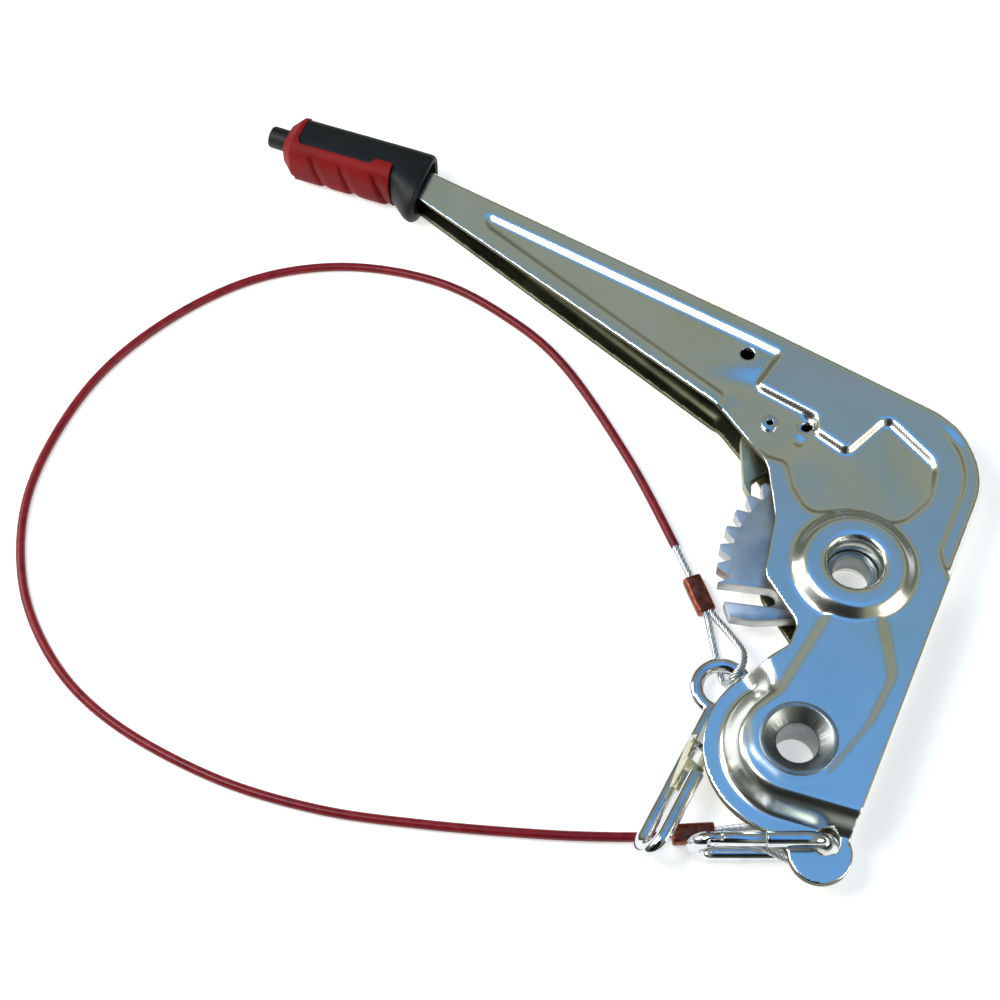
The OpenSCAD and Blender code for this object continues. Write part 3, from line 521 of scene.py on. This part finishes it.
def bossed(z, r):
    """Height z with the coned boss round the pivot, its inner edge rolled over into the collar."""
    cone = sum(np.clip((BOSS_R + k - r) / BOSS_RUN, 0, 1) for k in (-1.2, -0.4, 0.4, 1.2)) / 4
    z = np.where(r < BOSS_R + 1.2, np.maximum(z, CHEEK_Z + BOSS_RISE * cone), z)
    roll = np.clip(COLLAR_R + COLLAR_ROLL - r, 0, COLLAR_ROLL)
    return z - COLLAR_ROLL + np.sqrt(np.maximum(COLLAR_ROLL ** 2 - roll ** 2, 0))


def shouldered(p):
    """Fall of the sheet towards the web: a low step beside the bell, then the round of the bend."""
    x, y = p[:, 0], p[:, 1]
    edge = -outline_gap(cheek, p)
    web = ease((4 - outline_gap(web_zone, p)) / 6)
    step_wide = 11 * np.sqrt(np.clip((y + 4) / 14, 0, 1))
    step = 1.3 * ease((step_wide - edge) / 3) * ease((86 - y) / 14) * (x > 30)
    fall = np.clip(BEND_R - edge, 0, BEND_R)
    return web * (step + BEND_R - np.sqrt(np.maximum(BEND_R ** 2 - fall ** 2, 0)))


def walled(p):
    """Fall of the wall round the lobe, down to the flat rim."""
    u, v = p[:, 0] - LINK[0], p[:, 1] - LINK[1]
    stop = math.radians(LOBE_STOP)
    along = u * -math.sin(stop) + v * math.cos(stop)
    across = u * math.cos(stop) + v * math.sin(stop)
    out = np.where(along > 0, across, np.hypot(u, v)) - LOBE_R
    turn = np.degrees(np.arctan2(v, u)) % 360
    run_in = np.where(along > 0, 1, ease((turn - 102) / 22)) * ease((-38 - p[:, 1]) / 12)
    return (CHEEK_Z - SHEET) * ease((out + 2.5) / 12.5) * run_in


def pressed_height(p):
    """Height of the sheet's outer face over the seam."""
    x, y = p[:, 0], p[:, 1]
    way = math.radians(HANDLE_WAY)
    past_bend = np.maximum(0, (x - HANDLE_BEND[0]) * math.cos(way) + (y - HANDLE_BEND[1]) * math.sin(way))
    z = CHEEK_Z - past_bend * math.tan(math.radians(HANDLE_FALL)) - recessed(p)
    z += PANEL_RISE * ease(0.5 - outline_gap(panel, p) / PANEL_EDGE)
    z = bossed(z, np.hypot(x, y))
    for cx, cy, size, deep in dimples:
        z -= deep * ease((size - np.hypot(x - cx, y - cy)) / 4.5)
    return z - shouldered(p) - walled(p)


cell = 1.1
low_x, low_y, wide, deep = -286, -166, 362, 452
bm = bmesh.new()
place = Matrix.Translation((low_x + wide / 2, low_y + deep / 2, 0)) @ Matrix.Diagonal((wide / 2, deep / 2, 1, 1))
bmesh.ops.create_grid(bm, x_segments=int(wide / cell), y_segments=int(deep / cell), size=1.0, matrix=place)
middle = np.array([f.calc_center_median()[:2] for f in bm.faces])
kept = sheet_gap(middle) < 0
bmesh.ops.delete(bm, geom=[f for f, k in zip(bm.faces[:], kept) if not k], context="FACES")
# The cut edge is drawn onto the true outline, then every point is raised to the pressed form.
rim_points = [v for v in bm.verts if v.is_boundary]
p = np.array([v.co[:2] for v in rim_points])
for _ in range(4):
    d = sheet_gap(p)
    slope = np.stack([sheet_gap(p + s) - sheet_gap(p - s) for s in (np.array((0.05, 0)), np.array((0, 0.05)))], 1) / 0.1
    p -= slope * (d / np.maximum((slope ** 2).sum(1), 0.25))[:, None]
for v, q in zip(rim_points, p):
    v.co.xy = q
p = np.array([v.co[:2] for v in bm.verts])
for v, z in zip(bm.verts, pressed_height(p)):
    v.co.z = z
# The web goes down to the seam from the rounded shoulder, and the collar down into the pivot.
p = np.array([v.co[:2] for v in rim_points])
at_edge, in_zone = outline_gap(cheek, p), outline_gap(web_zone, p)
turned_down = {v: SEAM_Z for v, a, b in zip(rim_points, at_edge, in_zone) if abs(a) < 0.1 and b < 0}
turned_down.update({v: COLLAR_FOOT for v, q in zip(rim_points, p) if abs(np.hypot(*q) - COLLAR_R) < 0.2})
for part in (0.3, 0.45, 1.0):
    edges = [e for e in bm.edges if e.is_boundary and all(v in turned_down for v in e.verts)]
    lower = {}
    grown = bmesh.ops.extrude_edge_only(bm, edges=edges)["geom"]
    for v in (g for g in grown if isinstance(g, bmesh.types.BMVert)):
        old = next(e.other_vert(v) for e in v.link_edges if e.other_vert(v) in turned_down)
        lower[v] = turned_down[old]
        v.co.z += (turned_down[old] - v.co.z) * part
    turned_down = lower
bmesh.ops.scale(bm, vec=(MM, MM, MM), verts=bm.verts)
bmesh.ops.recalc_face_normals(bm, faces=bm.faces)
if sum(f.normal.z for f in bm.faces) < 0:
    bmesh.ops.reverse_faces(bm, faces=bm.faces)
# Zinc plate with a pale passivation: grey-green with straw tints and cloudy gloss.
zinc_mat, t = new_material("passivated_zinc_sheet")
at = add(t, "ShaderNodeTexCoord").outputs["Object"]
cloud = add(t, "ShaderNodeTexNoise", {"Vector": at, "Scale": 1 / (62.5 * MM), "Detail": 3.0, "Roughness": 0.45})
tone = ramp(t, cloud.outputs["Fac"], (0.3, "#dfe4dc"), (0.5, "#e9ebe6"), (0.64, "#e8e9dc"), (0.78, "#ddd9b4"))
grain = add(t, "ShaderNodeTexNoise", {"Vector": at, "Scale": 1 / (2.38 * MM), "Detail": 4.0, "Roughness": 0.6})
gloss = add(t, "ShaderNodeMapRange", {"Value": grain.outputs["Fac"], "To Min": 0.18, "To Max": 0.26})
mill = add(t, "ShaderNodeBump", {"Height": grain.outputs["Fac"], "Strength": 0.012, "Distance": 0.0002})
zinc = add(t, "ShaderNodeBsdfPrincipled", {
    "Base Color": tone, "Metallic": 1.0, "Roughness": gloss.outputs[0], "Normal": mill.outputs[0]})
add(t, "ShaderNodeOutputMaterial", {"Surface": zinc.outputs[0]})
# Inner faces and cut edges of the sheet: rougher zinc, painted dark olive as painted shade between the halves and along
# the edges.
inside_shade_mat, t = new_material("zinc_inside_painted_shade")
at = add(t, "ShaderNodeTexCoord").outputs["Object"]
cloud = add(t, "ShaderNodeTexNoise", {"Vector": at, "Scale": 1 / (25 * MM), "Detail": 5.0, "Roughness": 0.6})
tone = ramp(t, cloud.outputs["Fac"], (0.3, "#4c4e3c"), (0.7, "#75755c"))
gloss = add(t, "ShaderNodeMapRange", {"Value": cloud.outputs["Fac"], "To Min": 0.3, "To Max": 0.5})
shaded_inside_zinc = add(t, "ShaderNodeBsdfPrincipled", {"Base Color": tone, "Metallic": 1.0, "Roughness": gloss.outputs[0]})
add(t, "ShaderNodeOutputMaterial", {"Surface": shaded_inside_zinc.outputs[0]})
for node, side in (("front_shell", 1), ("rear_shell", -1)):
    half = bm.copy()
    if side < 0:
        bmesh.ops.scale(half, vec=(1, 1, -1), verts=half.verts)
        bmesh.ops.reverse_faces(half, faces=half.faces)
        for v in half.verts:  # the lower boss lies flat on the table
            v.co.z = max(v.co.z, floor_z)
    mesh = bpy.data.meshes.new(node + "_pressed")
    half.to_mesh(mesh)
    half.free()
    mesh.shade_smooth()
    mesh.materials.append(zinc_mat)
    mesh.materials.append(inside_shade_mat)
    shell = bpy.data.objects.new(node + "_pressed", mesh)
    scene.collection.objects.link(shell)
    thick = shell.modifiers.new("sheet", "SOLIDIFY")
    thick.thickness = SHEET * MM
    thick.offset = -1
    # The inner face and the cut edge take the dark inside zinc, which is painted shade.
    thick.material_offset = 1
    thick.material_offset_rim = 1
    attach(shell, "lever")
    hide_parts(node)
bm.free()

# Bushes: turned steel rings that the pivot bolt and the rod's pin run in, pressed through both halves.
# Plain plated steel with fine turning lines, its tone darkened all over as painted shade for the dark bores of the
# bushes.
turned_steel_and_shade_mat, t = new_material("turned_steel_with_bore_shade")
at = add(t, "ShaderNodeTexCoord").outputs["Object"]
cloud = add(t, "ShaderNodeTexNoise", {"Vector": at, "Scale": 1 / (11.1 * MM), "Detail": 5.0})
tone = ramp(t, cloud.outputs["Fac"], (0.3, "#858a88"), (0.7, "#a9aeac"))
gloss = add(t, "ShaderNodeMapRange", {"Value": cloud.outputs["Fac"], "To Min": 0.3, "To Max": 0.44})
turned = add(t, "ShaderNodeBsdfPrincipled", {"Base Color": tone, "Metallic": 1.0, "Roughness": gloss.outputs[0]})
add(t, "ShaderNodeOutputMaterial", {"Surface": turned.outputs[0]})
# The bushes' darker steel is painted shade for their bores.
eased(dressed("pivot_bush", "pivot_bush_turned", "lever", turned_steel_and_shade_mat, flats), 0.6)
eased(dressed("link_bush", "link_bush_turned", "lever", turned_steel_and_shade_mat, flats), 0.5)

# Toothed quadrant: a cut plate that stays still while the lever turns round it. Its slot takes the stop bolt.
# Pawl: a smaller stamped plate whose nose drops between the teeth.
def stamped(name, *tones):
    """Plated steel plate, cloudy in these tones."""
    mat, t = new_material(name)
    at = add(t, "ShaderNodeTexCoord").outputs["Object"]
    cloud = add(t, "ShaderNodeTexNoise", {"Vector": at, "Scale": 1 / (16.7 * MM), "Detail": 6.0, "Roughness": 0.6})
    gloss = add(t, "ShaderNodeMapRange", {"Value": cloud.outputs["Fac"], "To Min": 0.3, "To Max": 0.48})
    plate = add(t, "ShaderNodeBsdfPrincipled", {
        "Base Color": ramp(t, cloud.outputs["Fac"], *tones), "Metallic": 1.0, "Roughness": gloss.outputs[0]})
    add(t, "ShaderNodeOutputMaterial", {"Surface": plate.outputs[0]})
    return mat


# Zinc plate on the quadrant, and a yellower passivation on the pawl.
plate_mat = stamped("stamped_zinc_plate", (0.3, "#b2b4b2"), (0.6, "#cfd0cd"), (0.8, "#c9c4a4"))
pawl_mat = stamped("yellow_passivated_plate", (0.3, "#9a997a"), (0.6, "#b4b394"), (0.8, "#aaa67c"))
eased(dressed("toothed_quadrant", "quadrant_plate", "quadrant", plate_mat, flats), 0.4)
eased(dressed("pawl", "pawl_plate", "pawl_body", pawl_mat, flats), 0.4)

# Pawl pin, sleeves and spring: a hollow rivet through both halves, two turned sleeves that keep
# the pawl in the middle, and a hairpin of spring wire.
eased(dressed("pawl_pin", "pawl_rivet", "lever", bright_mat, flats), 0.25)
eased(dressed("spacer_front", "front_sleeve", "lever", turned_steel_and_shade_mat, flats), 0.3)
eased(dressed("spacer_rear", "rear_sleeve", "lever", turned_steel_and_shade_mat, flats), 0.3)
dressed("pawl_spring", "pawl_spring_wire", "lever", wire_mat).data.shade_smooth()

# Release rod: a long steel rod inside the handle, from the button down to the pawl's tail.
# A coil spring under the button pushes both back.
dressed("release_rod", "release_rod_steel", "button", turned_steel_and_shade_mat).data.shade_smooth()
dressed("button_spring", "button_spring_wire", "lever", wire_mat).data.shade_smooth()

# Grip: a moulded black core on the tang, with a cap and pad of softer red plastic moulded over its front
# and lower side. At the rear it flares into a guard for the hand. One cross pin holds it, under the skin.
GRIP_HALF, GRIP_BOW = 14.6, 3.5
PAD_END = 71.5


def pad_top(s):
    """Angle from the top of the grip at which the pad begins."""
    return 31 - 10 * (1 - ease((s - 12.5) / 3)) - 12 * ease((s - 58) / 4)


def grip_point(s, turn, out, size=1.0):
    """Point of the grip's skin, s along it and turned from its top, standing out from the plain form."""
    up, side = math.cos(math.radians(turn)), math.sin(math.radians(turn))
    nose = sum(min(max((s + k - 3.7) / 6.3, 0), 1) for k in (-0.7, 0, 0.7)) / 3
    r = GRIP_HALF * (0.62 + 0.38 * nose) / (abs(up) ** GRIP_BOW + abs(side) ** GRIP_BOW) ** (1 / GRIP_BOW)
    r = (r + out) * size
    return Vector((*on_grip(s, -r * side - 1.6 * max(0, 1 - s / 75)), r * up)) * MM


def core_point(ring, turn):
    """The core is lower where the pad covers it, and flares at the rear."""
    s, size = ring
    inside = ease((min(turn - pad_top(s), 180 - pad_top(s) - turn) - 2) / 5) * ease((72.4 - s) / 1.5)
    flare = 12.5 * ease((s - 70) / 19) * max(0, math.sin(math.radians(turn))) ** 4
    return grip_point(s, turn, flare - 2.4 * inside - 2.5 * ease((12.6 - s) / 0.6), size)


def pad_point(s, turn):
    """Three slanted finger grooves, each steep on its front side."""
    low, high = pad_top(s), 180 - pad_top(s)
    angle = low + (high - low) * turn
    cut = 0
    for at, width, deep in ((25.2, 7, 1.5), (42.7, 8, 1.7), (63, 8, 2.0)):
        d = s - at - (angle - 90) * 0.075
        cut = max(cut, deep * ease((d + 0.7) / 1.4) * (1 - ease((d - 0.7) / width)))
    cut *= ease((angle - 44) / 9) * ease((165 - angle) / 12)
    return grip_point(s + 2.9 * (s / PAD_END) ** 4 * (angle - 20) / 110, angle, 0.7 - cut)


def skin(name, rings, turns, place):
    """Mesh of a grid of points laid round the grip."""
    bm = bmesh.new()
    bmesh.ops.create_grid(bm, x_segments=len(rings) - 1, y_segments=len(turns) - 1, size=0.5)
    for v in bm.verts:
        v.co = place(rings[round((v.co.x + 0.5) * (len(rings) - 1))], turns[round((v.co.y + 0.5) * (len(turns) - 1))])
    bmesh.ops.remove_doubles(bm, verts=bm.verts, dist=1e-6)
    bmesh.ops.recalc_face_normals(bm, faces=bm.faces)
    mesh = bpy.data.meshes.new(name)
    bm.to_mesh(mesh)
    bm.free()
    mesh.shade_smooth()
    mesh.set_sharp_from_angle(angle=math.radians(38))
    obj = bpy.data.objects.new(name, mesh)
    scene.collection.objects.link(obj)
    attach(obj, "lever")
    return obj


# Black polypropylene with a fine eroded grain.
black_mat, t = new_material("moulded_black_polypropylene")
at = add(t, "ShaderNodeTexCoord").outputs["Object"]
speck = add(t, "ShaderNodeTexNoise", {"Vector": at, "Scale": 1 / (0.909 * MM), "Detail": 3.0})
cloud = add(t, "ShaderNodeTexNoise", {"Vector": at, "Scale": 1 / (16.7 * MM), "Detail": 4.0})
tone = ramp(t, cloud.outputs["Fac"], (0.3, "#0d0e0d"), (0.7, "#161816"))
gloss = add(t, "ShaderNodeMapRange", {"Value": cloud.outputs["Fac"], "To Min": 0.42, "To Max": 0.58})
erode = add(t, "ShaderNodeBump", {"Height": speck.outputs["Fac"], "Strength": 0.12, "Distance": 0.0002})
black = add(t, "ShaderNodeBsdfPrincipled", {
    "Base Color": tone, "Roughness": gloss.outputs[0], "Normal": erode.outputs[0],
    "IOR": 1.49, "Specular IOR Level": 0.35})
add(t, "ShaderNodeOutputMaterial", {"Surface": black.outputs[0]})
# Red thermoplastic rubber, matt, with a dusty bloom.
red_mat, t = new_material("soft_red_rubber")
at = add(t, "ShaderNodeTexCoord").outputs["Object"]
speck = add(t, "ShaderNodeTexNoise", {"Vector": at, "Scale": 1 / (1.11 * MM), "Detail": 3.0})
cloud = add(t, "ShaderNodeTexNoise", {"Vector": at, "Scale": 1 / (14.3 * MM), "Detail": 5.0})
tone = ramp(t, cloud.outputs["Fac"], (0.3, "#7b1214"), (0.7, "#8f1819"))
gloss = add(t, "ShaderNodeMapRange", {"Value": cloud.outputs["Fac"], "To Min": 0.48, "To Max": 0.62})
bloom = add(t, "ShaderNodeBump", {"Height": speck.outputs["Fac"], "Strength": 0.1, "Distance": 0.0002})
rubber = add(t, "ShaderNodeBsdfPrincipled", {
    "Base Color": tone, "Roughness": gloss.outputs[0], "Normal": bloom.outputs[0],
    "IOR": 1.5, "Specular IOR Level": 0.15})
add(t, "ShaderNodeOutputMaterial", {"Surface": rubber.outputs[0]})
round_turns = [i * 3 for i in range(121)]
core_rings = [(10, 0.55), (10, 1)] + [(11.4 + i * 0.6, 1) for i in range(130)]
core_rings += [(89.6, 0.997), (90.4, 0.985), (91.1, 0.96), (91.6, 0.92), (91.8, 0.86), (91.6, 0.8), (91, 0.76),
               (84, 0.72), (84, 0.01)]
core = skin("grip_core_moulded", core_rings, round_turns, core_point)
core.data.materials.append(black_mat)
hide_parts("grip_core")
cap_rings = [(8, 0.7), (3.9, 0.72), (3.6, 0.76), (3.5, 0.86), (3.6, 0.96)] + [(3.9 + i * 0.43, 1) for i in range(21)]
cap = skin("grip_cap_moulded", cap_rings, round_turns, lambda ring, turn: grip_point(ring[0], turn, 0.7, ring[1]))
pad = skin("grip_pad_moulded", [12.5 + i * 0.5 for i in range(119)], [i / 70 for i in range(71)], pad_point)
for obj in (cap, pad):
    thick = obj.modifiers.new("wall", "SOLIDIFY")
    thick.thickness = 1.3 * MM
    thick.offset = -1
    obj.data.materials.append(red_mat)
    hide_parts("grip_pad")


def shorter(bm):
    """The pin stays under the skin."""
    flats(bm)
    bmesh.ops.scale(bm, vec=(1, 1, 0.7), verts=bm.verts)


eased(dressed("grip_pin", "grip_cross_pin", "lever", turned_steel_and_shade_mat, shorter), 0.3)

# Push button: a black moulded stud in the grip's front end, held by the rod that it pushes.
# It is of the same plastic as the grip's core.
eased(dressed("push_button", "button_stud", "button", black_mat, flats), 0.7)
